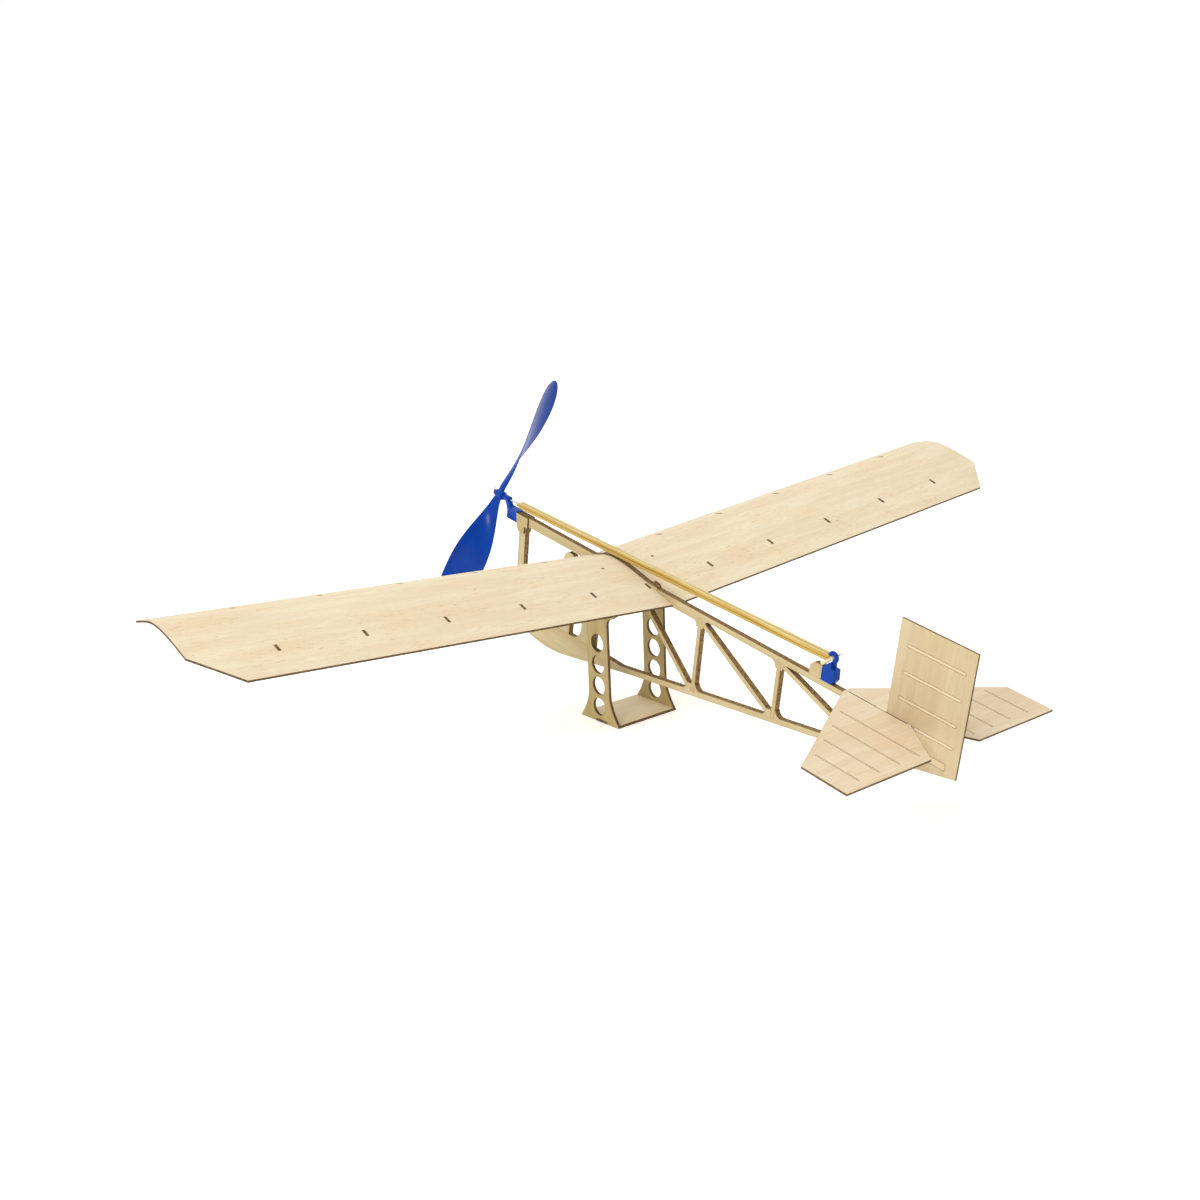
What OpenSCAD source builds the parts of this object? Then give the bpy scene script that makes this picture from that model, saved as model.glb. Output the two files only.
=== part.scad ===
// Rubber-powered model aeroplane: a flat stick-truss fuselage under a curved sheet wing.
// +X points to the nose, +Y to the port wing tip and +Z up. The origin is the middle of the
// skid plate's underside, on which the aeroplane stands. Shapes are drawn in the airframe's
// own axes, level with the deck and from the wing's leading edge, and stand() tips them up.

/* [Wing] */
// Distance from the fuselage's middle to a wing tip
half_span = 250; // [200:1:300]
// Chord from leading to trailing edge
wing_chord = 66.2; // [55:0.1:80]
// Length of the straight, chordwise part of the tip edge
tip_edge = 46.3; // [30:0.1:50]
// How far in from the tip the trailing edge's corner is
tip_rake = 17.7; // [5:0.1:30]
// Height of the trailing edge above the leading edge
trailing_z = -2.1; // [-4:0.1:1]
// Rise of each wing half from root to tip, in degrees
dihedral = 5; // [0:0.5:8]
// Thickness of the wing sheet
skin_t = 1; // [0.8:0.1:2]
// Ribs under each wing half, besides the root rib
rib_count = 5; // [3:1:5]
// Distance from the middle to the first of these ribs
rib_first = 38.8; // [30:0.1:45]
// Distance from rib to rib
rib_pitch = 43; // [38:0.1:48]
// Distance from the middle to the root rib's centre plane
root_rib_y = 3.3; // [2.5:0.1:6]
// Rib thickness
rib_t = 1.5; // [1:0.1:2]
// Length of the tabs that pass up through the wing sheet
tab_len = 4.4; // [3:0.1:6]

/* [Fuselage] */
// Thickness of the truss pieces
stick_t = 3; // [2:0.1:4]
// Length of the deck longeron ahead of the wing's leading edge
nose_x = 69; // [60:0.5:80]
// Distance from the leading edge back to the fin post
post_x = 205; // [190:1:220]
// Height of the deck above the wing's leading edge
deck_z = 1.8; // [0:0.1:4]
// Depth of the deck longeron ahead of the mid upright
deck_h = 5.1; // [4:0.1:6]
// Depth of the deck longeron behind the mid upright
deck_tail_h = 2.9; // [2.5:0.1:4]
// Width of the slim struts
strut_w = 2.4; // [2:0.1:3]
// Depth of the keel longeron
keel_h = 3.1; // [2.5:0.1:4]
// Rise of the keel longeron towards the tail, as a slope
keel_slope = 0.196; // [0.15:0.001:0.22]
// Level of the belly plate's upper edge
belly_z = -50.9; // [-54:0.1:-48]

/* [Undercarriage] */
// Angle from the skid plate to the deck, nose up, in degrees
rest_pitch = 10; // [6:0.5:12]
// Height of the wing's leading edge above the ground
stand_h = 80.7; // [70:0.1:90]
// Distance of the wing's leading edge ahead of the skid's middle
stand_x = 26.5; // [20:0.1:35]
// Distance from the middle to each leg's centre plane
leg_y = 18.8; // [15:0.1:25]
// Thickness of the legs and of the skid plate
leg_t = 1.5; // [1:0.1:2]
// Width of a leg
leg_w = 16.4; // [14:0.1:20]
// Width of a leg's foot, and length of the skid plate
foot_w = 30.5; // [26:0.1:40]
// Radius of the round holes in the legs
leg_hole_r = 4.8; // [3:0.1:5.2]
// Height of the lowest hole's centre
leg_hole_z = 8.3; // [7:0.1:10]
// Distance between hole centres
leg_hole_pitch = 11.5; // [11:0.1:12]

/* [Tail] */
// Thickness of the tail sheets
tail_t = 1; // [1:0.1:2]
// Half-span of the stabilizer
stab_y = 66.6; // [55:0.5:80]
// Distance from the wing's leading edge back to the stabilizer's root
stab_root_x = 181; // [175:1:184]
// How far the stabilizer's tip lies behind its root
stab_sweep = 37; // [25:0.5:40]
// Distance back to the stabilizer's trailing edge
stab_end_x = 243.2; // [240:0.1:246]
// Half-width of the notch in the stabilizer's trailing edge
stab_notch_y = 15.6; // [10:0.1:20]
// Distance back to the fin's trailing edge
fin_end_x = 246; // [240:0.1:255]
// Height of the fin's top edge above the wing's leading edge
fin_top_z = 48.3; // [40:0.1:60]
// Width of the battens let into the fin
batten_w = 1.5; // [1:0.1:2]
// Width of the battens let into the stabilizer
stab_batten_w = 0.8; // [0.6:0.1:2]

/* [Motor] */
// Height of the propeller shaft above the wing's leading edge
shaft_z = 5.6; // [5.5:0.1:7]
// Propeller radius
prop_r = 69.7; // [60:0.1:72]
// Widest chord of a blade
blade_chord = 20.5; // [15:0.1:24]
// How far the propeller screws forward in one turn
prop_pitch = 154; // [100:1:180]
// Lean of the upper blade from the vertical, towards starboard, in degrees
prop_lean = 29.7; // [0:0.1:90]
// Radius of the wire shaft
wire_r = 0.5; // [0.4:0.05:0.6]
// Radial clearance of the shaft in its bearing
shaft_gap = 0.05; // [0.02:0.01:0.1]
// Radius of the rubber motor's bundle of strands
rubber_r = 1.85; // [1.5:0.05:2.5]

/* [Hidden] */
$fn = 48;

eps = 0.01;
fill_sink = 0.06;
wood = "burlywood";
pale_wood = "wheat";
blue_plastic = "royalblue";

// The wing's upper surface is a Bezier curve from the leading to the trailing edge.
camber_p1 = [16 / 66.2 * wing_chord, 6.1];
camber_p2 = [13.8 / 66.2 * wing_chord, 9.6];
camber_p3 = [wing_chord, trailing_z];
camber_steps = 40;
rib_edge = 1.5;
rib_low_front = -2.4;
rib_low_rear = -3.9;
front_tab_x = 8.8;
aft_tab_x = 49;
// A peg through the wing sheet and a block under it hold each leg's top.
peg_x = 28.8;
peg_y = 16.4;
peg_r = 0.7;

// The keel longeron's upper edge passes through this point of the side view.
keel_ref = [-45, -48.4];
web_bottom = [12, 25];
web_top = [10.2, 20.6];
web_top_z = -4.6;
pylon_x = [-8.8, 2];
front_upright_x = [55, 60.6];
mid_node_x = -86.3;
rear_node_x = -140.7;
stub_w = 4.8;
stub_h = 3.4;
stub_r = 3.5;
chin_r = 78;
chin_x = 31;
chin_z = -66.3;
belly_r = 7.5;
brace_h = 57.2;
brace_r = 4.5;
stab_z = deck_z;
tongue_len = 6;
score_d = 0.4;
fin_slot_x = 218;
batten_ys = [for (i = [0:3]) 17.7 + 12.3 * i];
fin_batten_zs = [37.2, 24.7, 12.6, 2.2];
low_batten_z = -9.5;
slot_end = 1.6;
block_x = [62.9, 71.8];
block_z = [-4.2, 2.3];
block_w = 4.2;
tube_x = [72.4, 77];
tube_r = 1.7;
hub_x = [78.2, 84.4];
blade_x = 82.1;
hub_r = 2.4;
boss_r = 1.5;
boss_x = 86.6;
hook_x = 65.5;
hook_ring_r = 1.15;
rear_ring = [-170.8, 14.2];
rear_ring_r = 2;
rear_ring_wire = 1.05;
rubber_front = [63.6, 5.9];
rubber_rear = [-170.5, 13.6];
hook_block_x = -166.8;

function bezier(p, q, r, t) = 3 * (1 - t) ^ 2 * t * p + 3 * (1 - t) * t ^ 2 * q + t ^ 3 * r;
function camber(t) = bezier(camber_p1, camber_p2, camber_p3, t);
function keel_z(x) = keel_ref[1] - keel_slope * (x - keel_ref[0]);
function stab_front(y) = stab_root_x + stab_sweep * y / stab_y;
upper_line = [for (i = [0:camber_steps]) let (c = camber(i / camber_steps)) [-c[0], c[1]]];
// The keel laps the belly plate along a slanted joint between these points.
scarf_top = [-32, keel_z(-32)];
scarf_low = [-40, keel_z(-40) - keel_h];
lower_line = [for (i = [camber_steps:-1:0]) upper_line[i] - [0, skin_t]];

// Tips the airframe up to its standing attitude, over the skid plate.
module stand() {
    translate([stand_x, 0, stand_h]) rotate([0, -rest_pitch, 0]) children();
}

// Makes a side-view outline into a plate of thickness t, centred on the plane at y.
module plate(t, y = 0) {
    translate([0, y, 0]) rotate([90, 0, 0]) linear_extrude(t, center = true) children();
}

// A straight bar of width w from p to q in the side view.
module bar(p, q, w) {
    d = q - p;
    translate(p) rotate(atan2(d[1], d[0])) translate([0, -w / 2]) square([norm(d), w]);
}

// The inside corner at the origin between the +X and +Y edges, filled to radius r. It is sunk
// a little into both edges.
module corner_fill(r) {
    translate([-fill_sink, -fill_sink]) difference() {
        square(r);
        translate([r, r]) circle(r);
    }
}

// A slot or strip with round ends, from x0 to x1.
module strip(x0, x1, w) {
    translate([x0 + w / 2, 0]) circle(w / 2);
    translate([x1 - w / 2, 0]) circle(w / 2);
    translate([x0 + w / 2, -w / 2]) square([x1 - x0 - w, w]);
}

// A wider strip from the origin, with its corners rounded to radius r.
module soft_strip(w, h, r) {
    translate([r, 0]) square([w - 2 * r, h]);
    translate([0, r]) square([w, h - 2 * r]);
    for (x = [r, w - r], z = [r, h - r])
        translate([x, z]) circle(r);
}

// The boss that takes a strut's end under the deck at x, filleted on both sides.
module deck_stub(x, depth) {
    low = deck_z - depth;
    translate([x - stub_w / 2, low - stub_h]) square([stub_w, stub_h + 1]);
    translate([x + stub_w / 2, low]) mirror([0, 1]) corner_fill(stub_h);
    translate([x - stub_w / 2, low]) rotate(180) corner_fill(stub_h);
}

// The boss that takes a strut's foot on the keel at x, square to the keel's slope.
module keel_stub(x) {
    translate([x, keel_z(x)]) rotate(-atan(keel_slope)) {
        translate([-stub_w / 2 - 0.6, -1]) square([stub_w + 1.8, stub_h + 1]);
        translate([stub_w / 2 + 1.2, 0]) corner_fill(stub_r);
        translate([-stub_w / 2 - 0.6, 0]) mirror([1, 0]) corner_fill(stub_r);
    }
}

module deck_outline() {
    translate([-90, deck_z - deck_h]) square([nose_x + 90, deck_h]);
    translate([-post_x, deck_z - deck_tail_h]) square([post_x - 80, deck_tail_h]);
    translate([-90, deck_z - deck_tail_h]) rotate(180) corner_fill(deck_h - deck_tail_h);
    // The saddle follows the wing's curve between the two halves and stands just proud.
    polygon(concat([for (p = upper_line) p + [0, 0.3]], [[-wing_chord, -2], [0, -2]]));
    polygon([[-43, deck_z - 1], [-43, deck_z + 1], [-50, deck_z + 0.7], [-53.6, deck_z + 0.7],
        [-53.6, deck_z - 1]]);
    // A short tongue holds the stabilizer.
    translate([-post_x + 0.5, deck_z - 1]) square([tongue_len, tail_t + 1]);
    deck_stub(mid_node_x, deck_h - 0.6);
    deck_stub(rear_node_x, deck_tail_h);
    translate([front_upright_x[0] - 1.2, deck_z - deck_h - 1.5]) square([6.5, 2]);
}

module deck_notches() {
    for (x = [mid_node_x, rear_node_x])
        translate([x - strut_w / 2, deck_z - deck_tail_h - 9]) square([strut_w, 9]);
    translate([front_upright_x[0], -9]) square([front_upright_x[1] - front_upright_x[0], 7.5]);
}

module keel_outline() {
    tail_end = [-post_x, keel_z(-post_x)];
    polygon([scarf_top, tail_end, tail_end - [0, keel_h], scarf_low]);
    keel_stub(mid_node_x + 0.6);
    keel_stub(rear_node_x + 0.6);
}

module keel_notches() {
    for (x = [mid_node_x, rear_node_x])
        translate([x - strut_w / 2, keel_z(x) - 0.9]) square([strut_w, 9]);
}

module belly_outline() {
    arc_x = chin_x - 15.5;
    arc_z = chin_z + chin_r - sqrt(chin_r ^ 2 - 15.5 ^ 2);
    corners = [pylon_x[1] + belly_r, front_upright_x[0] - belly_r];
    difference() {
        union() {
            intersection() {
                translate([chin_x, chin_z + chin_r]) circle(chin_r, $fn = 180);
                translate([arc_x, -80]) square([front_upright_x[1] - arc_x, 80 + belly_z + belly_r - 1]);
            }
            polygon([scarf_low, [arc_x + eps, arc_z], [arc_x + eps, belly_z + belly_r - 1],
                [pylon_x[0], belly_z + belly_r - 1], [pylon_x[0], belly_z],
                [scarf_top[0] + 2, belly_z], scarf_top]);
        }
        // The upper edge is level between corners rounded up to the pylon and the upright.
        translate([corners[0], belly_z]) square([corners[1] - corners[0], 30]);
        for (x = corners)
            translate([x, belly_z + belly_r]) circle(belly_r);
    }
}

module belly_notches() {
    translate([front_upright_x[0], belly_z + 1]) square([front_upright_x[1] - front_upright_x[0], 9]);
    translate([pylon_x[0], belly_z]) square([pylon_x[1] - pylon_x[0], 9]);
}

module web_outline() {
    r = (web_top[1] - web_top[0]) / 2;
    polygon([[web_bottom[0], belly_z], [web_bottom[1], belly_z], [web_top[1], web_top_z - r],
        [web_top[0], web_top_z - r]]);
    translate([web_top[0] + r, web_top_z - r]) circle(r);
}

module deck_longeron() {
    color(pale_wood) stand() difference() {
        plate(stick_t) difference() {
            deck_outline();
            deck_notches();
        }
        score_line();
    }
}

module keel_longeron() {
    color(pale_wood) stand() plate(stick_t) difference() {
        keel_outline();
        keel_notches();
    }
}

module belly_plate() {
    color(pale_wood) stand() plate(stick_t) difference() {
        belly_outline();
        belly_notches();
    }
}

module front_upright() {
    w = front_upright_x[1] - front_upright_x[0];
    color(pale_wood) stand() plate(stick_t)
        translate([front_upright_x[0], belly_z + 1]) square([w, -2.5 - belly_z]);
}

module web_plate() {
    color(pale_wood) stand() plate(stick_t) web_outline();
}

module wing_pylon() {
    color(pale_wood) stand() plate(stick_t) difference() {
        translate([pylon_x[0], belly_z]) square([pylon_x[1] - pylon_x[0], deck_z - belly_z]);
        deck_outline();
    }
}

// An upright between the bottoms of its notches in the deck and in the keel.
module slim_upright(x) {
    low = keel_z(x) - 0.9;
    color(pale_wood) stand() plate(stick_t)
        translate([x - strut_w / 2, low]) square([strut_w, deck_z - deck_tail_h - low]);
}

// A diagonal, trimmed where it meets the longerons and the uprights.
module diagonal(p, q) {
    color(pale_wood) stand() plate(stick_t) difference() {
        bar(p, q, strut_w);
        deck_outline();
        keel_outline();
        for (x = [mid_node_x, rear_node_x])
            translate([x - strut_w / 2, -60]) square([strut_w, 60]);
    }
}

module mid_upright() {
    slim_upright(mid_node_x);
}

module rear_upright() {
    slim_upright(rear_node_x);
}

module front_diagonal() {
    diagonal([-35.8, -1.6], [-85.5, -41.7]);
}

module mid_diagonal() {
    diagonal([-84.8, -1.3], [-140.3, -30.4]);
}

module rear_diagonal() {
    diagonal([-142.3, -1.6], [-197.5, -20.1]);
}

// A ply cheek beside the deck's nose, with a leg down the front upright.
module nose_doubler(side) {
    t = 1;
    color(wood) stand() plate(t, side * (stick_t + t) / 2)
        polygon([[block_x[0], deck_z], [52.5, deck_z], [52.5, -4.1], [55.4, -4.1], [55.4, -8],
            [60.6, -8], [block_x[0] - 0.9, -5]]);
}

module left_nose_doubler() {
    nose_doubler(1);
}

module right_nose_doubler() {
    nose_doubler(-1);
}

module skin_section() {
    polygon(concat(upper_line, lower_line));
}

// The strips of the section in which the rib's two tabs lie.
module rib_tabs() {
    for (x = [front_tab_x, aft_tab_x])
        translate([-x - tab_len / 2, -10]) square([tab_len, 30]);
}

// Everything over the skin's lower surface, in the wing half's own axes.
module over_skin() {
    polygon(concat(lower_line, [[9, -1], [9, 90], [-wing_chord - 9, 90], [-wing_chord - 9, -3]]));
}

module rib_body() {
    difference() {
        polygon([[-rib_edge, rib_low_front], [-rib_edge, 9], [rib_edge - wing_chord, 9],
            [rib_edge - wing_chord, rib_low_rear]]);
        over_skin();
    }
}

// Places one wing half's own axes: side is 1 for port and -1 for starboard.
module wing_half(side) {
    mirror([0, side > 0 ? 0 : 1, 0]) rotate([dihedral, 0, 0]) children();
}

module leg_peg_hole(side) {
    translate([-peg_x, side * peg_y, -30]) cylinder(60, r = peg_r);
}

module wing_skin(side) {
    span = half_span / cos(dihedral) + 9;
    end = (half_span - leg_t) / cos(dihedral) + leg_t;
    color(pale_wood) stand() difference() {
        intersection() {
            wing_half(side) plate(span, span / 2 - 9) skin_section();
            translate([-150, side > 0 ? stick_t / 2 : -300, -50]) cube([300, 300 - stick_t / 2, 150]);
            wing_half(side) translate([0, 0, -50]) linear_extrude(150)
                polygon([[9, -9], [9, end], [-tip_edge, end], [-wing_chord, end - tip_rake],
                    [-wing_chord - 9, end - tip_rake], [-wing_chord - 9, -9]]);
        }
        for (i = [0:rib_count])
            wing_half(side) plate(rib_t, rib_y(i)) rib_tabs();
        leg_peg_hole(side);
    }
}

function rib_y(i) = i == 0 ? root_rib_y : rib_first + rib_pitch * (i - 1);

module left_wing_skin() {
    wing_skin(1);
}

module right_wing_skin() {
    wing_skin(-1);
}

// Rib i of a wing half, counted from the root, with its two tabs up through the sheet.
module rib(side, i) {
    color(wood) stand() wing_half(side) plate(rib_t, rib_y(i)) {
        rib_body();
        intersection() {
            skin_section();
            rib_tabs();
        }
    }
}

// A leg's side view, from the middle of its foot.
module leg_outline() {
    flare_h = 15;
    reach = (foot_w - leg_w) / 2;
    edge = [for (h = [0:1.5:flare_h]) [leg_w / 2 + reach * (1 - h / flare_h) ^ 1.7, h + 0.4]];
    half = concat([[foot_w / 2 - 1.2, 0]], edge, [[leg_w / 2, brace_h]]);
    polygon(concat([for (p = half) p], [for (i = [len(half) - 1:-1:0]) [-half[i][0], half[i][1]]]));
}

// The brace that widens each leg's top into a wing rib of its own.
module leg_brace() {
    tip = brace_h + 0.8;
    polygon([[leg_w / 2 + brace_r, tip], [-leg_w / 2 - brace_r, tip], [-36, 73], [-36, 97], [25, 97],
        [25, 79]]);
    for (m = [0, 1])
        mirror([m, 0]) translate([leg_w / 2, tip]) mirror([0, 1]) corner_fill(brace_r);
}

module leg(side) {
    color(wood) difference() {
        translate([0, side * leg_y, 0]) rotate([90, 0, 0]) linear_extrude(leg_t, center = true)
            difference() {
                union() {
                    leg_outline();
                    leg_brace();
                }
                for (i = [0:3])
                    translate([0, leg_hole_z + leg_hole_pitch * i]) circle(leg_hole_r);
                translate([-5.9, -1]) square([9, leg_t + 1]);
            }
        stand() wing_half(side) plate(99, 30) over_skin();
    }
}

// The block glued between a leg's inner face and the wing sheet, with its round peg.
module leg_block(side) {
    inner = leg_y - leg_t / 2;
    outer = peg_y - 1.4;
    color(wood) stand() {
        difference() {
            translate([-peg_x - 2, side > 0 ? outer : -inner, 0.5]) cube([4, inner - outer, 20]);
            wing_half(side) plate(99, 30) over_skin();
        }
        intersection() {
            leg_peg_hole(side);
            wing_half(side) plate(60, 30) skin_section();
        }
    }
}

module left_leg_block() {
    leg_block(1);
}

module right_leg_block() {
    leg_block(-1);
}

module left_leg() {
    leg(1);
}

module right_leg() {
    leg(-1);
}

module skid_plate() {
    inner = 2 * leg_y - leg_t;
    color(pale_wood) {
        translate([-foot_w / 2 + 0.6, -inner / 2, 0]) cube([foot_w - 1.2, inner, leg_t]);
        translate([-5.9, -inner / 2 - leg_t, 0]) cube([9, inner + 2 * leg_t, leg_t]);
    }
}

module stab_outline() {
    polygon([[-stab_root_x, 2.4], [-stab_front(stab_y), stab_y], [-stab_end_x, stab_y],
        [-stab_end_x, stab_notch_y], [-fin_slot_x, 0], [-stab_end_x, -stab_notch_y],
        [-stab_end_x, -stab_y], [-stab_front(stab_y), -stab_y], [-stab_root_x, -2.4]]);
}

// The four battens of one side of the stabilizer, seen from above.
module stab_batten_outline(side) {
    for (y = batten_ys)
        translate([0, side * y]) strip(-stab_end_x + 4.6, -stab_front(y) - 3, stab_batten_w);
}

// The line scored along the stabilizer's root, just beside the fin.
module score_line() {
    translate([-fin_slot_x + 1, tail_t / 2 + 0.1, stab_z + tail_t - score_d])
        cube([fin_slot_x - stab_root_x - 3, 0.4, score_d + 1]);
}

module stabilizer() {
    color(pale_wood) stand() difference() {
        translate([0, 0, stab_z]) linear_extrude(tail_t) difference() {
            stab_outline();
            stab_batten_outline(1);
            stab_batten_outline(-1);
            translate([-post_x + 0.5, -stick_t / 2]) square([tongue_len, stick_t]);
        }
        score_line();
    }
}

module left_stab_battens() {
    color(wood) stand() translate([0, 0, stab_z]) linear_extrude(tail_t) stab_batten_outline(1);
}

module right_stab_battens() {
    color(wood) stand() translate([0, 0, stab_z]) linear_extrude(tail_t) stab_batten_outline(-1);
}

module fin_batten_outline() {
    for (i = [0:3])
        translate([0, fin_batten_zs[i]])
            strip(-fin_end_x + 4.2, -(i == 3 ? fin_slot_x + slot_end + 0.8 : post_x + 4.8), batten_w);
    translate([-fin_end_x + 6.2, low_batten_z]) soft_strip(16.6, 3.4, 0.8);
}

module fin() {
    low = keel_z(-post_x) - keel_h;
    color(pale_wood) stand() plate(tail_t) difference() {
        polygon([[-post_x, fin_top_z], [-fin_end_x, fin_top_z], [-fin_end_x, -10.9], [-post_x, low]]);
        translate([-fin_slot_x - slot_end, stab_z]) square([fin_slot_x + slot_end, tail_t]);
        fin_batten_outline();
    }
}

module fin_battens() {
    color(wood) stand() plate(tail_t) fin_batten_outline();
}

// Clip-on socket for the deck's nose, with an arm that carries the shaft's bearing tube.
module nose_bearing() {
    color(blue_plastic) stand() difference() {
        union() {
            translate([block_x[0], -block_w / 2, block_z[0]])
                cube([block_x[1] - block_x[0], block_w, block_z[1] - block_z[0]]);
            plate(2.6) polygon([[69, 2.3], [70.8, 3], [71.9, 4.2], [72.8, shaft_z], [75, shaft_z],
                [74.9, 4.2], [73.6, 2], [73, 0.3], [71.7, -1.6], [70.5, -1.6]]);
            plate(2.4) translate([block_x[0] - 0.8, deck_z]) square([2.4, block_z[1] - deck_z]);
            translate([tube_x[0], 0, shaft_z]) rotate([0, 90, 0]) cylinder(tube_x[1] - tube_x[0], r = tube_r);
        }
        translate([block_x[0] - 1, -stick_t / 2, deck_z - deck_h])
            cube([nose_x - block_x[0] + 1, stick_t, deck_h]);
        translate([tube_x[0] - 1, 0, shaft_z]) rotate([0, 90, 0]) cylinder(9, r = wire_r + shaft_gap);
    }
}

// The wooden post on the deck, with a round front and a tongue for the rear hook's socket.
module hook_post() {
    color(pale_wood) stand() plate(stick_t) {
        intersection() {
            translate([hook_block_x + 3.4, deck_z + 2.6]) circle(4.3);
            translate([hook_block_x, deck_z]) square(9);
        }
        translate([hook_block_x, deck_z]) square([3.4, 6.9]);
        translate([hook_block_x, deck_z]) square([7.7, 2.6]);
        translate([hook_block_x - 4.7, deck_z]) square([5, 4.5]);
    }
}

module rear_hook() {
    low = deck_z + 0.3;
    color(blue_plastic) stand() difference() {
        union() {
            plate(4) polygon([[hook_block_x, low], [hook_block_x, 8.4], [-170.5, 12], [-171.7, 12.2],
                [-172, 9.4], [-174.2, 9.4], [-174.6, 4.2], [-173.3, low]]);
            plate(1.8) polygon([[-169.6, 10.4], [-171, 12.3], [-172.6, 13], [-171.8, 9]]);
            translate([rear_ring[0], 0, rear_ring[1]]) rotate([90, 0, 0])
                rotate([0, 0, 20]) rotate_extrude(angle = 235)
                    translate([rear_ring_r, 0]) circle(rear_ring_wire);
        }
        translate([hook_block_x - 4.7, -stick_t / 2, deck_z - 1]) cube([9, stick_t, 5.5]);
    }
}

// The tight bundle of strands, narrower where it passes round the rear hook.
module rubber_motor() {
    d = rubber_front - rubber_rear;
    long = norm(d);
    color("goldenrod") stand() difference() {
        translate([rubber_rear[0], 0, rubber_rear[1]]) rotate([0, 90 - atan2(d[1], d[0]), 0])
            rotate_extrude() polygon([[0, 0], [0.9, 0], [1.2, 2], [rubber_r, 6],
                [rubber_r, long - 3], [1.3, long], [0, long]]);
        translate([rear_ring[0], 0, rear_ring[1]]) rotate([90, 0, 0]) rotate_extrude()
            translate([rear_ring_r, 0]) circle(rear_ring_wire);
    }
}

// Blade chord at radius r: it widens from the hub and ends in an elliptical tip.
blade_root_r = 1.2;
blade_wide_r = 44;
blade_root_chord = 5.4;
blade_bow = 2.5;
blade_skew = 1.1;
function chord(r) = r < blade_wide_r
    ? blade_root_chord + (blade_chord - blade_root_chord)
        * sin(90 * (r - blade_root_r) / (blade_wide_r - blade_root_r)) ^ 1.43
    : max(0.6, blade_chord * sqrt(max(0, 1 - ((r - blade_wide_r) / (prop_r - blade_wide_r)) ^ 2.6)));
function blade_t(r) = 0.7 + 0.6 * (1 - r / prop_r) ^ 2;
// The blade bows back between root and tip, and its middle lies off the radius.
function bow(r) = -blade_bow * sin(180 * max(0, (r - 5) / (prop_r - 5)) ^ 0.88);
function twist(r) = atan(prop_pitch / (2 * PI * r));

// One point of a blade that stands along +Z: s runs across the chord, n through the thickness.
function blade_point(r, s, n) = let (
    b = twist(r),
    c = s * chord(r) + blade_skew * sin(180 * r / prop_r),
    h = 0.075 * chord(r) * (1 - 4 * s * s) + n
) [c * sin(b) + h * cos(b) + bow(r), h * sin(b) - c * cos(b), r];

module blade() {
    rings = 30;
    cols = 10;
    loop = 2 * cols;
    radii = [for (i = [0:rings]) let (u = i / rings) blade_root_r + (prop_r - blade_root_r) * sin(90 * u)];
    pts = [for (r = radii, j = [0:loop - 1]) let (
        k = j <= cols ? j : loop - j,
        s = -0.5 * cos(180 * k / cols),
        half = blade_t(r) / 2 * sqrt(max(0, 1 - 4 * s * s))
    ) blade_point(r, s, j <= cols ? half : -half)];
    sides = [for (i = [0:rings - 1], j = [0:loop - 1]) let (
        a = i * loop + j,
        b = i * loop + (j + 1) % loop
    ) [a, b, b + loop, a + loop]];
    root = [for (j = [loop - 1:-1:0]) j];
    tip = [for (j = [0:loop - 1]) rings * loop + j];
    polyhedron(pts, concat(sides, [root, tip]));
}

// Places the turning pieces on the shaft's axis.
module on_shaft() {
    stand() translate([0, 0, shaft_z]) children();
}

module propeller() {
    color(blue_plastic) on_shaft() difference() {
        union() {
            for (half_turn = [0, 180])
                rotate([prop_lean + half_turn, 0, 0]) translate([blade_x, 0, 0]) blade();
            translate([hub_x[0], 0, 0]) rotate([0, 90, 0]) cylinder(hub_x[1] - hub_x[0], r = hub_r);
            translate([hub_x[1] - 1, 0, 0]) rotate([0, 90, 0]) cylinder(boss_x - hub_x[1] + 1, r = boss_r);
        }
        translate([hub_x[0] - 1, 0, 0]) rotate([0, 90, 0]) cylinder(15, r = wire_r);
    }
}

// Bent wire: an open ring at the back takes the rubber, a bent end in front drives the hub.
module prop_shaft() {
    front_x = boss_x + wire_r;
    color("silver") on_shaft() {
        translate([hook_x + hook_ring_r, 0, 0]) rotate([0, 90, 0])
            cylinder(front_x - hook_x - hook_ring_r, r = wire_r);
        translate([front_x, 0, 0]) sphere(wire_r);
        translate([front_x, 0, 0]) cylinder(2.6, r = wire_r);
        translate([hook_x, 0, 0]) rotate([90, 0, 0]) rotate_extrude(angle = 290)
            translate([hook_ring_r, 0]) circle(wire_r - 0.1);
    }
}

module thrust_bead() {
    gap = 0.1;
    color(blue_plastic) on_shaft() difference() {
        translate([tube_x[1] + gap, 0, 0]) rotate([0, 90, 0])
            cylinder(hub_x[0] - tube_x[1] - gap, r = 1.5);
        translate([tube_x[1] - 1, 0, 0]) rotate([0, 90, 0]) cylinder(4, r = wire_r);
    }
}

deck_longeron();
keel_longeron();
belly_plate();
front_upright();
web_plate();
wing_pylon();
mid_upright();
rear_upright();
front_diagonal();
mid_diagonal();
rear_diagonal();
left_nose_doubler();
right_nose_doubler();
left_wing_skin();
right_wing_skin();
for (i = [0:rib_count]) {
    rib(1, i);
    rib(-1, i);
}
left_leg();
right_leg();
left_leg_block();
right_leg_block();
skid_plate();
stabilizer();
fin();
left_stab_battens();
right_stab_battens();
fin_battens();
nose_bearing();
hook_post();
rear_hook();
rubber_motor();
propeller();
prop_shaft();
thrust_bead();
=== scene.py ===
import math
import random

import bmesh
import bpy
from mathutils import Euler, Matrix, Vector


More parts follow.
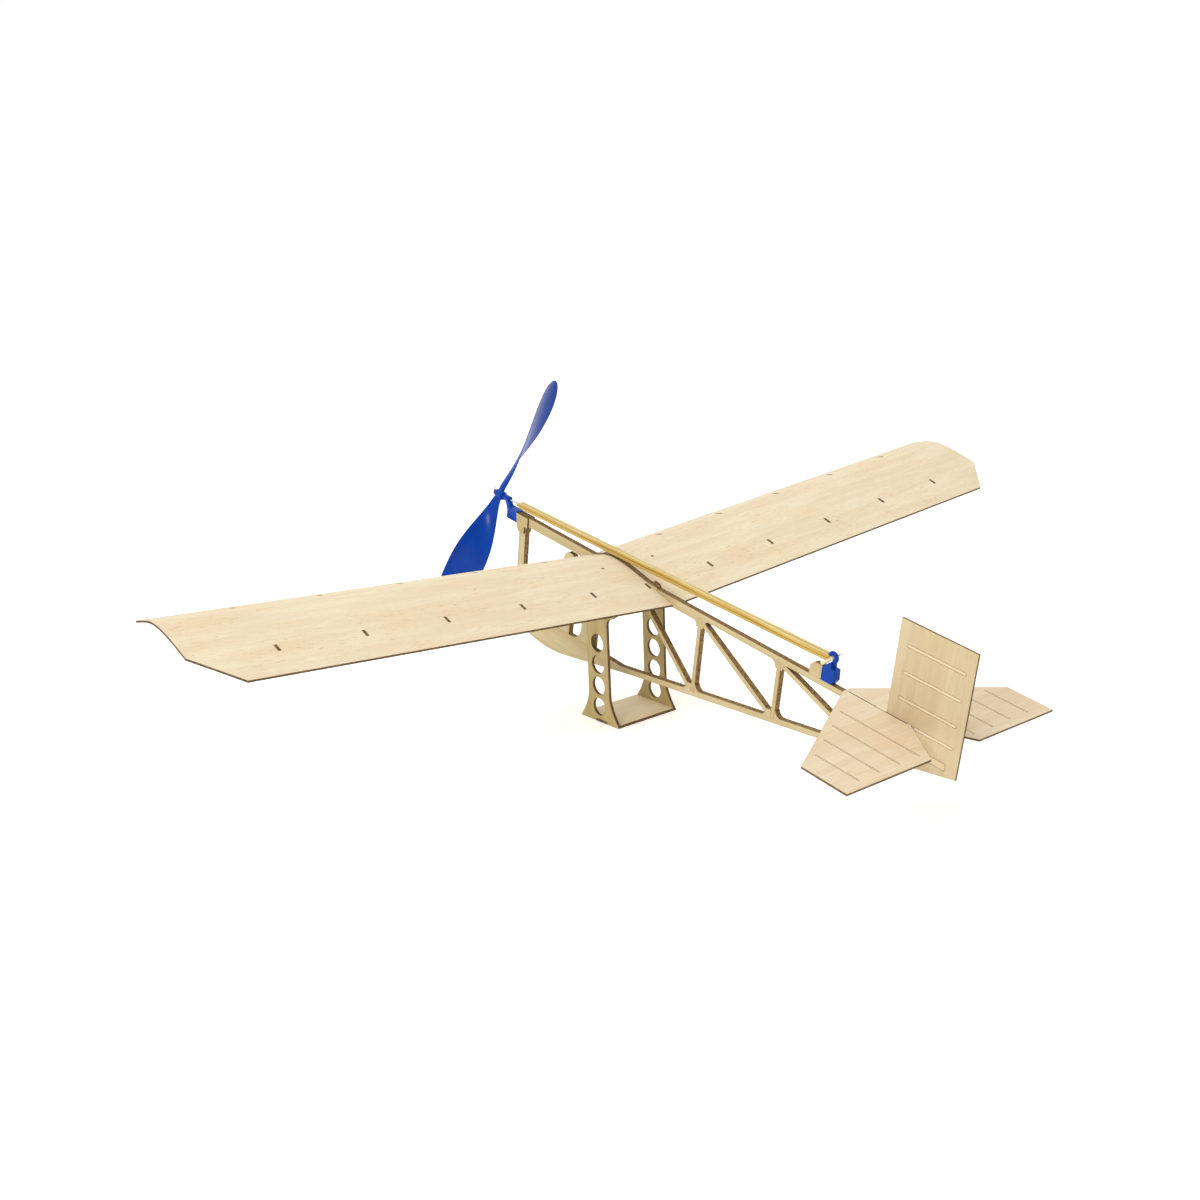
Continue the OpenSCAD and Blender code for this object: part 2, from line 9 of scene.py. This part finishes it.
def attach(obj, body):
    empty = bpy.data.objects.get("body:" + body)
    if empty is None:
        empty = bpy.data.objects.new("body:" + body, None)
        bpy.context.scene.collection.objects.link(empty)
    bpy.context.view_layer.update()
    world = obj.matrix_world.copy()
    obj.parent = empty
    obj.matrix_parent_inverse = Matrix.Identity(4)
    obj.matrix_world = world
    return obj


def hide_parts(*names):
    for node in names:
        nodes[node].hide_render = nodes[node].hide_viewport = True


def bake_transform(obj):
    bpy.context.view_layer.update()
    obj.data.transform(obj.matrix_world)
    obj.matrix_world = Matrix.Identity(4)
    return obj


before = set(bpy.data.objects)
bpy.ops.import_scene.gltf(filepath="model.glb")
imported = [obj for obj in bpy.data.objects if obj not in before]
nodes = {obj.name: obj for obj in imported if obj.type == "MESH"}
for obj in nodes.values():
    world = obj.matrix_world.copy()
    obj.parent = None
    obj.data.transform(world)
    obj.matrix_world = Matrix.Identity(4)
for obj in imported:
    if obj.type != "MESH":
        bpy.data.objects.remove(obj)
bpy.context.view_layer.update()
scene = bpy.context.scene

MM = 0.001
PITCH = math.radians(10)       # the airframe stands nose up by this angle
STAND = Vector((26.5, 0.0, 80.7))  # the wing's leading edge above the skid's middle, in mm
AXIS_Z = 5.6                   # the shaft's height in the airframe's axes, in mm
TILT = Matrix.Rotation(-PITCH, 3, "Y")
TAIL_LIGHT = (0.74, 0.625, 0.445)  # the palest wood of the tail sheets


def at(x, y, z):
    """A point in the airframe's axes, in mm, as a point of the row frame, in metres."""
    return (TILT @ Vector((x, y, z)) + STAND) * MM


# ---------------------------------------------------------------- camera and stage

def make_camera():
    data = bpy.data.cameras.new("camera")
    data.sensor_width = 36.0
    data.lens = 48.45
    data.clip_start, data.clip_end = 0.01, 60.0
    cam = bpy.data.objects.new("camera", data)
    cam.location = (-0.61155, 0.50396, 0.30057)
    cam.rotation_euler = Euler((1.27805, 0.03640, -2.25465))
    scene.collection.objects.link(cam)
    scene.camera = cam


def area_light(name, where, target, size, watts, colour):
    data = bpy.data.lights.new(name, "AREA")
    data.shape = "DISK"
    data.size = size
    data.energy = watts
    data.color = colour
    light = bpy.data.objects.new(name, data)
    light.location = where
    light.rotation_mode = "QUATERNION"
    light.rotation_quaternion = (Vector(target) - Vector(where)).to_track_quat("-Z", "Y")
    scene.collection.objects.link(light)


def make_stage():
    bpy.ops.mesh.primitive_plane_add(size=24.0, location=(0, 0, 0))
    floor = bpy.context.object
    floor.name = "floor"
    mat = bpy.data.materials.new("floor")
    mat.use_nodes = True
    bsdf = mat.node_tree.nodes["Principled BSDF"]
    bsdf.inputs["Base Color"].default_value = (0.92, 0.92, 0.92, 1)
    bsdf.inputs["Roughness"].default_value = 0.9
    bsdf.inputs["Specular IOR Level"].default_value = 0.0
    bsdf.inputs["Emission Color"].default_value = (1, 1, 1, 1)
    bsdf.inputs["Emission Strength"].default_value = 0.36
    floor.data.materials.append(mat)

    world = bpy.data.worlds.new("world")
    scene.world = world
    world.use_nodes = True
    tree = world.node_tree
    tree.nodes.clear()
    out = tree.nodes.new("ShaderNodeOutputWorld")
    back = tree.nodes.new("ShaderNodeBackground")
    # A white studio, dimmer towards the aeroplane's tail.
    where = tree.nodes.new("ShaderNodeTexCoord")
    split = tree.nodes.new("ShaderNodeSeparateXYZ")
    ramp = tree.nodes.new("ShaderNodeMapRange")
    ramp.interpolation_type = "SMOOTHSTEP"
    for key, v in (("From Min", -0.9), ("From Max", -0.3), ("To Min", 0.45), ("To Max", 1.0)):
        ramp.inputs[key].default_value = v
    tree.links.new(where.outputs["Generated"], split.inputs[0])
    tree.links.new(split.outputs["X"], ramp.inputs["Value"])
    tree.links.new(ramp.outputs["Result"], back.inputs["Strength"])
    back.inputs["Color"].default_value = (1.0, 1.0, 1.0, 1)
    tree.links.new(back.outputs[0], out.inputs[0])
    area_light("key", (-0.5, 0.9, 1.9), (0, 0, 0.08), 0.9, 8.0, (1.0, 0.985, 0.96))
    area_light("top", (0.5, -0.3, 2.2), (0, 0, 0.08), 1.4, 5.0, (1.0, 1.0, 1.0))
    area_light("side", (-0.52, 1.45, 0.85), (0.1, 0, 0.08), 0.22, 4.5, (1.0, 0.99, 0.97))
    scene.view_settings.view_transform = "Standard"


# ---------------------------------------------------------------- material helpers

class Tree:
    """Short names for building a shader node tree."""

    def __init__(self, name):
        self.mat = bpy.data.materials.new(name)
        self.mat.use_nodes = True
        self.nodes = self.mat.node_tree.nodes
        self.links = self.mat.node_tree.links
        self.bsdf = self.nodes["Principled BSDF"]

    def put(self, value, socket):
        if isinstance(value, bpy.types.NodeSocket):
            self.links.new(value, socket)
        elif value is not None:
            socket.default_value = value

    def math(self, op, a, b=None, c=None, clamp=False):
        n = self.nodes.new("ShaderNodeMath")
        n.operation = op
        n.use_clamp = clamp
        for i, v in enumerate((a, b, c)):
            self.put(v, n.inputs[i])
        return n.outputs[0]

    def dot(self, a, b):
        n = self.nodes.new("ShaderNodeVectorMath")
        n.operation = "DOT_PRODUCT"
        self.put(a, n.inputs[0])
        self.put(b, n.inputs[1])
        return n.outputs["Value"]

    def steps(self, value, low, high, to_low=0.0, to_high=1.0):
        """Smoothly maps value from low..high to to_low..to_high."""
        n = self.nodes.new("ShaderNodeMapRange")
        n.interpolation_type = "SMOOTHSTEP"
        self.put(value, n.inputs["Value"])
        for key, v in (("From Min", low), ("From Max", high), ("To Min", to_low), ("To Max", to_high)):
            n.inputs[key].default_value = v
        return n.outputs["Result"]

    def mix(self, factor, a, b, blend="MIX"):
        n = self.nodes.new("ShaderNodeMix")
        n.data_type = "RGBA"
        n.blend_type = blend
        self.put(factor, n.inputs["Factor"])
        self.put(a, n.inputs["A"])
        self.put(b, n.inputs["B"])
        return n.outputs["Result"]

    def coords(self, size_mm, tilt=True, offset=(0, 0, 0)):
        """Object coordinates along the airframe's axes, measured in cells of size_mm."""
        src = self.nodes.new("ShaderNodeTexCoord").outputs["Object"]
        n = self.nodes.new("ShaderNodeMapping")
        n.vector_type = "TEXTURE"
        n.inputs["Location"].default_value = offset
        n.inputs["Rotation"].default_value = (0, -PITCH if tilt else 0, 0)
        n.inputs["Scale"].default_value = [s * MM for s in size_mm]
        self.links.new(src, n.inputs["Vector"])
        return n.outputs[0]

    def noise(self, vector, detail=2.0, rough=0.5, distortion=0.0):
        n = self.nodes.new("ShaderNodeTexNoise")
        n.inputs["Scale"].default_value = 1.0
        n.inputs["Detail"].default_value = detail
        n.inputs["Roughness"].default_value = rough
        n.inputs["Distortion"].default_value = distortion
        self.links.new(vector, n.inputs["Vector"])
        return n.outputs["Fac"]

    def bump(self, height, strength, distance_mm, normal=None):
        n = self.nodes.new("ShaderNodeBump")
        n.inputs["Strength"].default_value = strength
        n.inputs["Distance"].default_value = distance_mm * MM
        self.put(height, n.inputs["Height"])
        if normal is not None:
            self.links.new(normal, n.inputs["Normal"])
        return n.outputs["Normal"]

    def edge(self, radius_mm, samples=6):
        """1 on a sharp edge, falling to 0 at about radius_mm from it."""
        b = self.nodes.new("ShaderNodeBevel")
        b.samples = samples
        b.inputs["Radius"].default_value = radius_mm * MM
        g = self.nodes.new("ShaderNodeNewGeometry")
        return self.math("SUBTRACT", 1.0, self.dot(b.outputs[0], g.outputs["True Normal"]))


def grain_cells(axis, across, along):
    """Cell sizes in mm for a streak that runs along an axis."""
    return [along if a == axis else across for a in "xyz"]


def wood(name, light, dark, grain, face, flecks=0.5, tilt=True, char=1.0, seed=0.0, wear_and_gap_shade=0.5,
         burn=((0.10, 0.055, 0.018), (0.36, 0.215, 0.065)), rim=0.6, clean=None):
    """Bare sheet wood. grain is the fibres' axis; face is the sheet's normal: other faces are laser cut."""
    t = Tree(name)
    off = (seed * 0.173, seed * 0.311, seed * 0.097)
    bands = t.noise(t.coords(grain_cells(grain, 5.5, 130), tilt, off), 2, 0.55)
    fibres = t.noise(t.coords(grain_cells(grain, 0.42, 13), tilt, off), 3, 0.6)
    fleck = t.noise(t.coords(grain_cells(grain, 0.5, 7.5), tilt, off), 2, 0.5, 0.3)
    patch = t.noise(t.coords((22, 30, 22), tilt, off), 2, 0.5)
    pore = t.noise(t.coords(grain_cells(grain, 0.22, 2.2), tilt, off), 1, 0.5)

    body = t.mix(t.steps(bands, 0.32, 0.68), (*dark, 1), (*light, 1))
    body = t.mix(t.steps(fibres, 0.36, 0.7, 0.0, 0.42), body, (*[c * 0.88 for c in dark], 1))
    warm = (dark[0] * 1.03, dark[1] * 0.93, dark[2] * 0.82, 1)
    body = t.mix(t.steps(patch, 0.45, 0.75, 0.0, 0.4), body, warm)
    marks = t.math("MULTIPLY", t.steps(fleck, 0.6, 0.72), t.steps(patch, 0.42, 0.6, 0.15, 1.0))
    mark = (*[c * k for c, k in zip(dark, (0.68, 0.6, 0.5))], 1)
    body = t.mix(t.math("MULTIPLY", marks, flecks), body, mark)
    body = t.mix(t.steps(pore, 0.64, 0.74, 0.0, 0.22), body, (*[c * 0.7 for c in dark], 1))

    g = t.nodes.new("ShaderNodeNewGeometry")
    facing = t.math("ABSOLUTE", t.dot(g.outputs["True Normal"], face))
    cut = t.steps(facing, 0.5, 0.8, 1.0, 0.0)
    soot = t.noise(t.coords((1.3, 1.3, 1.3), tilt, off), 3, 0.6)
    lines = t.noise(t.coords((0.35, 3.0, 0.35) if grain == "y" else (0.35, 0.5, 0.35), tilt, off), 2, 0.6)
    scorch = (*[c * 0.45 for c in burn[0]], 1)
    burnt = t.mix(t.steps(soot, 0.3, 0.7), (*burn[0], 1), (*burn[1], 1))
    burnt = t.mix(t.steps(lines, 0.35, 0.7, 0.0, 0.45), burnt, scorch)
    rims = t.edge(rim)
    burnt = t.mix(t.steps(rims, 0.01, 0.2, 0.0, 0.6), burnt, scorch)
    if clean is not None:
        keep = clean(t)
        cut = t.math("MULTIPLY", cut, keep)
        body = t.mix(keep, (*TAIL_LIGHT, 1), body)
    # Darkening of the faces near their edges: laser browning, and on the battens partly painted shade of the
    # thin gap along each batten.
    halo = t.steps(rims, 0.002, 0.10, 0.0, 1.0)
    speckle = t.steps(soot, 0.3, 0.65, 0.55, 1.0)
    halo = t.math("MULTIPLY", halo, t.math("MULTIPLY", speckle, wear_and_gap_shade))
    body = t.mix(halo, body, (0.22, 0.125, 0.045, 1))
    colour = t.mix(t.math("MULTIPLY", cut, char), body, burnt)
    t.put(colour, t.bsdf.inputs["Base Color"])
    t.put(t.steps(fibres, 0.3, 0.7, 0.58, 0.72), t.bsdf.inputs["Roughness"])
    t.bsdf.inputs["Specular IOR Level"].default_value = 0.28
    height = t.math("ADD", t.math("MULTIPLY", fibres, 0.6), t.math("MULTIPLY", pore, 0.4))
    t.put(t.bump(height, 0.35, 0.12), t.bsdf.inputs["Normal"])
    return t.mat


def plastic(name, colour, rim):
    """Glossy moulded plastic with a faint orange-peel skin and rounded edges."""
    t = Tree(name)
    cloud = t.noise(t.coords((9, 9, 9)), 2, 0.5)
    grit = t.noise(t.coords((0.5, 0.5, 0.5)), 2, 0.5)
    body = t.mix(t.steps(cloud, 0.3, 0.7), (*colour, 1), (*[c * 0.84 for c in colour], 1))
    # Paler blue mixed in along the edges is a painted highlight on the rounded edges.
    body = t.mix(t.steps(t.edge(0.5), 0.01, 0.25, 0.0, 0.2), body, (*rim, 1))
    t.put(body, t.bsdf.inputs["Base Color"])
    t.put(t.steps(cloud, 0.3, 0.7, 0.17, 0.22), t.bsdf.inputs["Roughness"])
    t.bsdf.inputs["IOR"].default_value = 1.49
    t.bsdf.inputs["Specular IOR Level"].default_value = 0.15
    soft = t.nodes.new("ShaderNodeBevel")
    soft.samples = 6
    soft.inputs["Radius"].default_value = 0.3 * MM
    t.put(t.bump(grit, 0.08, 0.05, soft.outputs[0]), t.bsdf.inputs["Normal"])
    return t.mat


def steel(name):
    t = Tree(name)
    draw = t.noise(t.coords((6, 0.25, 0.25)), 2, 0.6)
    t.put(t.mix(draw, (0.55, 0.55, 0.57, 1), (0.8, 0.8, 0.82, 1)), t.bsdf.inputs["Base Color"])
    t.bsdf.inputs["Metallic"].default_value = 1.0
    t.put(t.steps(draw, 0.2, 0.8, 0.2, 0.34), t.bsdf.inputs["Roughness"])
    return t.mat


def rubber(name, light, dark):
    """Dusty rubber strip, streaked along its length."""
    t = Tree(name)
    long = t.noise(t.coords((60, 0.9, 0.9)), 3, 0.55)
    fine = t.noise(t.coords((9, 0.25, 0.25)), 2, 0.5)
    dust = t.noise(t.coords((0.8, 0.4, 0.4)), 3, 0.6)
    body = t.mix(t.steps(long, 0.35, 0.65), (*dark, 1), (*light, 1))
    body = t.mix(t.steps(fine, 0.55, 0.75, 0.0, 0.45), body, (*[c * 0.72 for c in dark], 1))
    pale = (min(1, light[0] * 1.12), min(1, light[1] * 1.15), light[2] * 1.5, 1)
    body = t.mix(t.steps(dust, 0.45, 0.75, 0.0, 0.3), body, pale)
    t.put(body, t.bsdf.inputs["Base Color"])
    t.bsdf.inputs["Roughness"].default_value = 0.5
    t.bsdf.inputs["Specular IOR Level"].default_value = 0.35
    t.put(t.bump(t.math("ADD", dust, fine), 0.3, 0.06), t.bsdf.inputs["Normal"])
    return t.mat


def paint(names, mat):
    for n in names:
        o = nodes[n]
        if not o.material_slots:
            o.data.materials.append(mat)
        for s in o.material_slots:
            s.material = mat


def tongue_clean(t):
    """0 over the top of the deck's tongue, which is as pale as the tail sheet, and 1 elsewhere."""
    split = t.nodes.new("ShaderNodeSeparateXYZ")
    t.links.new(t.coords((1, 1, 1), True, [c * MM for c in STAND]), split.inputs[0])
    behind = t.steps(split.outputs["X"], -198.4, -198.2)
    below = t.steps(split.outputs["Z"], 2.6, 2.75, 1.0, 0.0)
    return t.math("MAXIMUM", behind, below)


def dress():
    up = (math.sin(-PITCH), 0, math.cos(PITCH))
    light, dark = (0.765, 0.67, 0.475), (0.715, 0.59, 0.40)
    tail_l, tail_d = TAIL_LIGHT, (0.68, 0.54, 0.355)
    stick_l, stick_d = (0.57, 0.475, 0.27), (0.48, 0.375, 0.19)
    warm_l, warm_d = (0.49, 0.395, 0.185), (0.42, 0.32, 0.13)
    side = (0, 1, 0)
    thin_burn = ((0.06, 0.032, 0.012), (0.24, 0.14, 0.05))
    tail_burn = ((0.10, 0.06, 0.02), (0.20, 0.13, 0.05))
    paint(["left_wing_skin"], wood("sheet_left", light, dark, "y", up, 0.75, seed=1, burn=thin_burn))
    paint(["right_wing_skin"], wood("sheet_right", light, dark, "y", up, 0.75, seed=2, burn=thin_burn))
    stick = wood("stick_long", stick_l, stick_d, "x", side, 0.5, seed=3, wear_and_gap_shade=0.75)
    post = wood("stick_up", stick_l, stick_d, "z", side, 0.5, seed=4, wear_and_gap_shade=0.75)
    paint(["deck_longeron"], wood("deck_stick", stick_l, stick_d, "x", side, 0.5, seed=3, clean=tongue_clean))
    paint(["keel_longeron", "belly_plate", "hook_post",
           "front_diagonal", "mid_diagonal", "rear_diagonal"], stick)
    paint(["front_upright", "web_plate", "wing_pylon", "mid_upright", "rear_upright"], post)
    ribs = [f"{s}_rib_{i}" for s in ("left", "right") for i in range(6)]
    paint(ribs + ["left_nose_doubler", "right_nose_doubler"],
          wood("rib_ply", warm_l, warm_d, "x", side, 0.4, seed=5, burn=thin_burn))
    paint(["left_leg", "right_leg", "left_leg_block", "right_leg_block"],
          wood("leg_ply", warm_l, warm_d, "z", side, 0.5, False, seed=6, burn=thin_burn))
    # The skid plate's wood is painted paler than it is: painted light, standing in for the light that the
    # wing above keeps off it.
    paint(["skid_plate"], wood("skid_ply_painted_light", (0.88, 0.78, 0.56), (0.82, 0.70, 0.47), "y", (0, 0, 1), 0.4, False,
                                seed=7, burn=thin_burn))
    paint(["stabilizer"], wood("tail_flat", tail_l, tail_d, "y", up, 0.35, seed=8, wear_and_gap_shade=0.9, burn=tail_burn,
                               rim=0.4))
    # The fin's wood is darker than the stabilizer's: partly a slightly darker sheet, partly painted shade on
    # the upright sheet.
    paint(["fin"], wood("tail_upright", (0.61, 0.50, 0.32), (0.55, 0.435, 0.26), "z", side, 0.35, seed=9,
                        wear_and_gap_shade=0.9, burn=tail_burn, rim=0.4))
    cream_l, cream_d = (0.73, 0.61, 0.42), (0.67, 0.54, 0.34)
    # The battens' stronger, wider edge darkening is partly painted shade in the thin gap along each batten,
    # over their laser-burnt edges.
    paint(["left_stab_battens", "right_stab_battens"],
          wood("batten_flat", tail_l, tail_d, "x", up, 0.3, seed=10, wear_and_gap_shade=1.0, rim=0.8))
    paint(["fin_battens"], wood("batten_upright", cream_l, cream_d, "x", side, 0.3, seed=11, wear_and_gap_shade=1.0,
                                rim=0.8))
    paint(["nose_bearing", "rear_hook", "thrust_bead"], BLUE)
    paint(["prop_shaft"], steel("wire"))


# ---------------------------------------------------------------- visual pieces

def make_mesh(name, verts, faces, mats, indices=None):
    """An object from points in the airframe's axes, in mm, shaded smooth."""
    mesh = bpy.data.meshes.new(name)
    mesh.from_pydata([at(*v) for v in verts], [], faces)
    for m in mats:
        mesh.materials.append(m)
    bm = bmesh.new()
    bm.from_mesh(mesh)
    bmesh.ops.recalc_face_normals(bm, faces=bm.faces)
    bm.to_mesh(mesh)
    bm.free()
    for i, poly in enumerate(mesh.polygons):
        poly.use_smooth = True
        if indices:
            poly.material_index = indices[i]
    obj = bpy.data.objects.new(name, mesh)
    scene.collection.objects.link(obj)
    return obj


def skin_rings(rings, first=0, caps=True):
    """Quads between equal rings of points, numbered from first, with flat ends."""
    n = len(rings[0])
    faces = []
    for i in range(len(rings) - 1):
        for j in range(n):
            a, b = first + i * n + j, first + i * n + (j + 1) % n
            faces.append((a, b, b + n, a + n))
    if caps:
        faces.append(tuple(first + j for j in range(n))[::-1])
        faces.append(tuple(first + (len(rings) - 1) * n + j for j in range(n)))
    return faces


def ease(v, low, high):
    u = min(1.0, max(0.0, (v - low) / (high - low)))
    return u * u * (3 - 2 * u)


def lerp(a, b, u):
    return a + (b - a) * u


def strip_section(across, up, corner=0.42, steps=4):
    """A rounded rectangle's outline as (sideways, upward) offsets."""
    r = min(across, up) * 2 * corner
    pts = []
    for q, (sx, sy) in enumerate(((1, 1), (-1, 1), (-1, -1), (1, -1))):
        for k in range(steps + 1):
            a = math.radians(90 * q + 90 * k / steps)
            pts.append((sx * (across - r) + r * math.cos(a), sy * (up - r) + r * math.sin(a)))
    return pts


def sweep(path, sizes, twists):
    """Rings of a strip's section along a path: sizes are half-widths, twists are in radians."""
    rings = []
    for i, p in enumerate(path):
        t = (path[min(i + 1, len(path) - 1)] - path[max(i - 1, 0)]).normalized()
        side = Vector((0, 0, 1)).cross(t).normalized()
        up = t.cross(side)
        c, s = math.cos(twists[i]), math.sin(twists[i])
        rings.append([p + (side * c + up * s) * a + (up * c - side * s) * b
                      for a, b in strip_section(*sizes[i])])
    return rings


REAR = Vector((-170.5, 0.0, 13.6))    # the bundle's ends, on the two hooks
FRONT = Vector((63.6, 0.0, 5.9))
RING_X, TURN_R = 64.35, 0.8           # the shaft ring's rear wire, and the strips' turn round it


def bundle_axis(x):
    u = (x - REAR.x) / (FRONT.x - REAR.x)
    return lerp(REAR.z, FRONT.z, u)


def make_rubber():
    """Two loops of strip, one over the other, from the rear hook round the shaft's ring."""
    rng = random.Random(11)
    waves = [(rng.uniform(0.02, 0.05), rng.uniform(0, 6.28)), (rng.uniform(0.07, 0.12), rng.uniform(0, 6.28))]
    verts, faces, indices = [], [], []
    for level in (-1, 1):
        path, sizes, twists = [], [], []
        xs = [lerp(REAR.x + 0.6, 63.8, k / 110) for k in range(111)]
        wobble = [rng.uniform(-0.05, 0.05) for _ in range(8)]
        for lane in (1, -1):
            line = []
            for x in xs:
                out = 1 - ease(x, 62.6, 63.8)
                near = ease(x, REAR.x + 0.5, REAR.x + 3.4)
                full = out * near
                phi = full * (math.radians(7) * math.sin(waves[0][0] * x + waves[0][1])
                              + math.radians(4) * math.sin(waves[1][0] * x + waves[1][1]))
                sag = wobble[level + 1 + (lane > 0)] * math.sin(x * 0.045 + level + lane)
                y0 = lane * (lerp(0.8, 0.91, full) if x > 0 else lerp(0.45, 0.91, near))
                z0 = level * (lerp(0.37, 0.91, out) if x > 0 else lerp(0.45, 0.91, near))
                cz = lerp(AXIS_Z, bundle_axis(x), out) if x > 0 else bundle_axis(x)
                y = y0 * math.cos(phi) - z0 * math.sin(phi)
                z = y0 * math.sin(phi) + z0 * math.cos(phi)
                thick = 1 + 0.04 * math.sin(0.31 * x + 2 * level + lane)
                a = (lerp(0.35, 0.87, out) if x > 0 else lerp(0.5, 0.87, near)) * thick
                b = (lerp(0.35, 0.87, out) if x > 0 else lerp(0.5, 0.87, near)) * thick
                line.append((Vector((x, y + sag * full, cz + z)), (a, b), phi * lane))
            if lane < 0:
                line = line[::-1]
            path += [q[0] for q in line]
            sizes += [q[1] for q in line]
            twists += [q[2] for q in line]
            if lane > 0:
                for k in range(11):
                    a = math.radians(90 - 18 * k)
                    turn = Vector((math.cos(a), math.sin(a), 0)) * TURN_R
                    path.append(Vector((RING_X, 0, AXIS_Z + 0.37 * level)) + turn)
                    sizes.append((0.35, 0.35))
                    twists.append(0.0)
        rings = sweep(path, sizes, twists)
        first = len(verts)
        verts += [v for ring in rings for v in ring]
        new = skin_rings(rings, first)
        faces += new
        sides = len(rings[0])
        # The top faces of the upper strips take the paler rubber: a painted highlight where light falls on
        # the bundle's top.
        indices += [0 if level > 0 and 2 <= k % sides <= 6 else 1 for k in range(len(new) - 2)] + [1, 1]
    # The paler colours are the painted highlight; the gold ones are the strips' own colour.
    upper = rubber("strip_top_painted_highlight", (0.66, 0.56, 0.28), (0.56, 0.44, 0.17))
    lower = rubber("strip_gold", (0.58, 0.39, 0.10), (0.47, 0.29, 0.05))
    band = make_mesh("rubber_strips", verts, faces, [upper, lower], indices)
    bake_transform(band)
    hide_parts("rubber_motor")


def make_knot():
    """The strips' cream knot inside the rear hook, with its two loose tails."""
    rng = random.Random(5)
    verts, faces = [], []
    for centre, size in (((-170.5, 0.35, 13.8), (1.0, 1.25, 0.95)), ((-170.2, -0.5, 13.9), (0.95, 1.2, 0.9))):
        bm = bmesh.new()
        bmesh.ops.create_icosphere(bm, subdivisions=3, radius=1.0)
        first = len(verts)
        for v in bm.verts:
            k = 1 + 0.07 * math.sin(5 * v.co.x + 3 * v.co.z) + rng.uniform(-0.015, 0.015)
            verts.append(Vector([c + s * k * u for c, s, u in zip(centre, size, v.co)]))
        faces += [tuple(first + v.index for v in f.verts) for f in bm.faces]
        bm.free()
    tails = (
        ([(-170.6, 0.9, 13.8), (-169.4, 1.35, 12.6), (-168.0, 1.5, 11.2), (-166.6, 1.4, 10.1),
          (-165.4, 1.2, 9.45)], (0.8, 0.5)),
        ([(-170.6, -0.9, 14.0), (-171.8, -1.45, 15.0), (-172.9, -1.6, 16.0), (-173.8, -1.6, 16.9)],
         (0.45, 0.3)),
    )
    for pts, size in tails:
        fine = []
        for i in range(len(pts) - 1):
            for k in range(5):
                fine.append(Vector(pts[i]).lerp(Vector(pts[i + 1]), k / 5))
        fine.append(Vector(pts[-1]))
        smooth = [fine[0]] + [(fine[i - 1] + fine[i] * 2 + fine[i + 1]) / 4 for i in range(1, len(fine) - 1)]
        smooth.append(fine[-1])
        rings = sweep(smooth, [size] * len(smooth), [0.3 + 0.05 * i for i in range(len(smooth))])
        first = len(verts)
        verts += [v for ring in rings for v in ring]
        faces += skin_rings(rings, first)
    cream = rubber("strip_cream", (0.74, 0.68, 0.50), (0.64, 0.56, 0.36))
    knot = make_mesh("rubber_knot", verts, faces, [cream])
    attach(knot, "airframe")


LEAN = math.radians(29.7)             # the upper blade's lean towards starboard
PROP_R, WIDE_R, ROOT_R = 69.7, 44.0, 1.2
BLADE_CHORD, ROOT_CHORD = 20.5, 5.4
PROP_PITCH, BLADE_BOW, BLADE_SKEW = 154.0, 2.5, 1.1
BLADE_X = 82.1
HUB_R, BOSS_R, BORE_R = 2.4, 1.5, 0.5


def blade_chord(r):
    if r < WIDE_R:
        rise = math.sin(math.pi / 2 * (r - ROOT_R) / (WIDE_R - ROOT_R)) ** 1.43
        return ROOT_CHORD + (BLADE_CHORD - ROOT_CHORD) * rise
    return max(0.5, BLADE_CHORD * math.sqrt(max(0.0, 1 - ((r - WIDE_R) / (PROP_R - WIDE_R)) ** 2.6)))


def blade_ring(r, cols):
    """One closed section of a blade along +Z, at radius r, as points about the shaft."""
    b = math.atan2(PROP_PITCH, 2 * math.pi * r)
    c = blade_chord(r)
    half = (0.7 + 0.6 * (1 - r / PROP_R) ** 2) / 2
    bow = -BLADE_BOW * math.sin(math.pi * max(0.0, (r - 5) / (PROP_R - 5)) ** 0.88)
    skew = BLADE_SKEW * math.sin(math.pi * r / PROP_R)
    ring = []
    for j in range(2 * cols):
        k = j if j <= cols else 2 * cols - j
        s = -0.5 * math.cos(math.pi * k / cols)
        n = (1 if j <= cols else -1) * half * math.sqrt(max(0.0, 1 - 4 * s * s))
        h = 0.075 * c * (1 - 4 * s * s) + n
        q = s * c + skew
        ring.append((q * math.sin(b) + h * math.cos(b) + bow, h * math.sin(b) - q * math.cos(b), r))
    return ring


def make_propeller():
    verts, faces = [], []
    for turn in (0, math.pi):
        c, s = math.cos(LEAN + turn), math.sin(LEAN + turn)
        rings = []
        for i in range(71):
            r = ROOT_R + (PROP_R - ROOT_R) * math.sin(math.pi / 2 * i / 70)
            rings.append([(x + BLADE_X, y * c - z * s, y * s + z * c + AXIS_Z)
                          for x, y, z in blade_ring(r, 16)])
        first = len(verts)
        verts += [v for ring in rings for v in ring]
        faces += skin_rings(rings, first)
    profile = [(78.2, BORE_R), (78.2, HUB_R - 0.35), (78.3, HUB_R - 0.12), (78.55, HUB_R), (83.95, HUB_R),
               (84.25, HUB_R - 0.1), (84.4, HUB_R - 0.35), (84.5, BOSS_R), (86.1, BOSS_R),
               (86.45, BOSS_R - 0.15), (86.6, BOSS_R - 0.45), (86.6, BORE_R)]
    turns = 48
    rings = [[(x, r * math.cos(2 * math.pi * k / turns), AXIS_Z + r * math.sin(2 * math.pi * k / turns))
              for k in range(turns)] for x, r in profile + [profile[0]]]
    first = len(verts)
    verts += [v for ring in rings for v in ring]
    faces += skin_rings(rings, first, False)
    prop = make_mesh("propeller_smooth", verts, faces, [BLUE])
    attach(prop, "propeller")
    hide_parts("propeller")


# The second colour is the paler blue of the painted edge highlight.
BLUE = plastic("blue_gloss", (0.0, 0.044, 0.33), (0.01, 0.09, 0.46))
make_camera()
make_stage()
dress()
make_rubber()
make_knot()
make_propeller()
